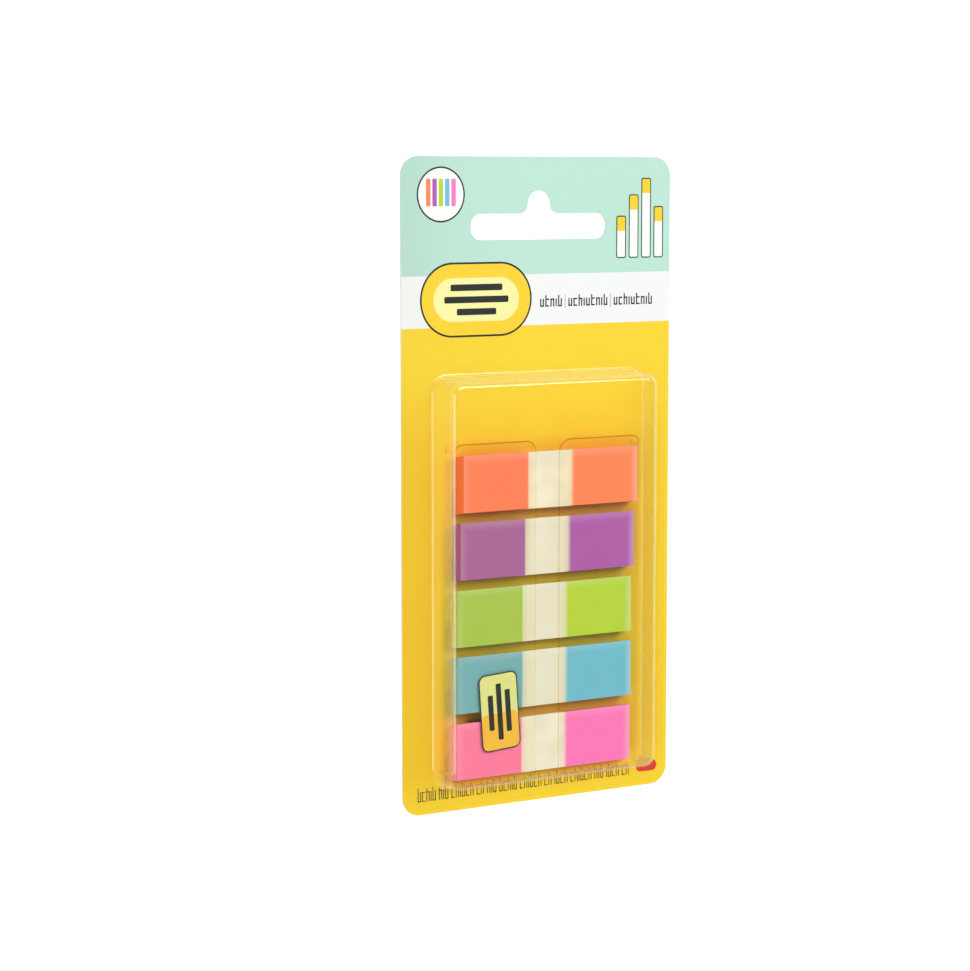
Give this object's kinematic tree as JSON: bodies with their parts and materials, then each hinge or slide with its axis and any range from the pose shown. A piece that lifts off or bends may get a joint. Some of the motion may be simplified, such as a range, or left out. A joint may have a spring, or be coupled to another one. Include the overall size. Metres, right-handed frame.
{
  "type": "carded pack of sticky index tabs",
  "caption": "Paperboard card with a hang slot and a sealed clear blister, holding a clear dispenser case with a row of sticky index tab stacks in several colours.",
  "frame": {"origin": "middle of the card's back face, on which the pack lies", "axes": "+X across the card to the right of its print, +Y up the card towards its hang slot, +Z out of the printed front"},
  "size_m": [0.0664, 0.1364, 0.0081],
  "materials": {
    "paperboard": "printed and varnished, mint, white and yellow fields",
    "blister_film": "clear and glossy",
    "case_sheet": "clear, slightly hazy",
    "orange_pad": "matt film",
    "orange_flag": "matt film",
    "purple_pad": "matt film",
    "purple_flag": "matt film",
    "green_pad": "matt film",
    "green_flag": "matt film",
    "blue_pad": "matt film",
    "blue_flag": "matt film",
    "pink_pad": "matt film",
    "pink_flag": "matt film"
  },
  "bodies": {
    "root": {"backing_card": "paperboard", "blister": "blister_film", "dispenser_case": "case_sheet", "orange_flag_pad": "orange_pad", "orange_top_flag": "orange_flag", "purple_flag_pad": "purple_pad", "purple_top_flag": "purple_flag", "green_flag_pad": "green_pad", "green_top_flag": "green_flag", "blue_flag_pad": "blue_pad", "blue_top_flag": "blue_flag", "pink_flag_pad": "pink_pad", "pink_top_flag": "pink_flag"}
  },
  "joints": []
}
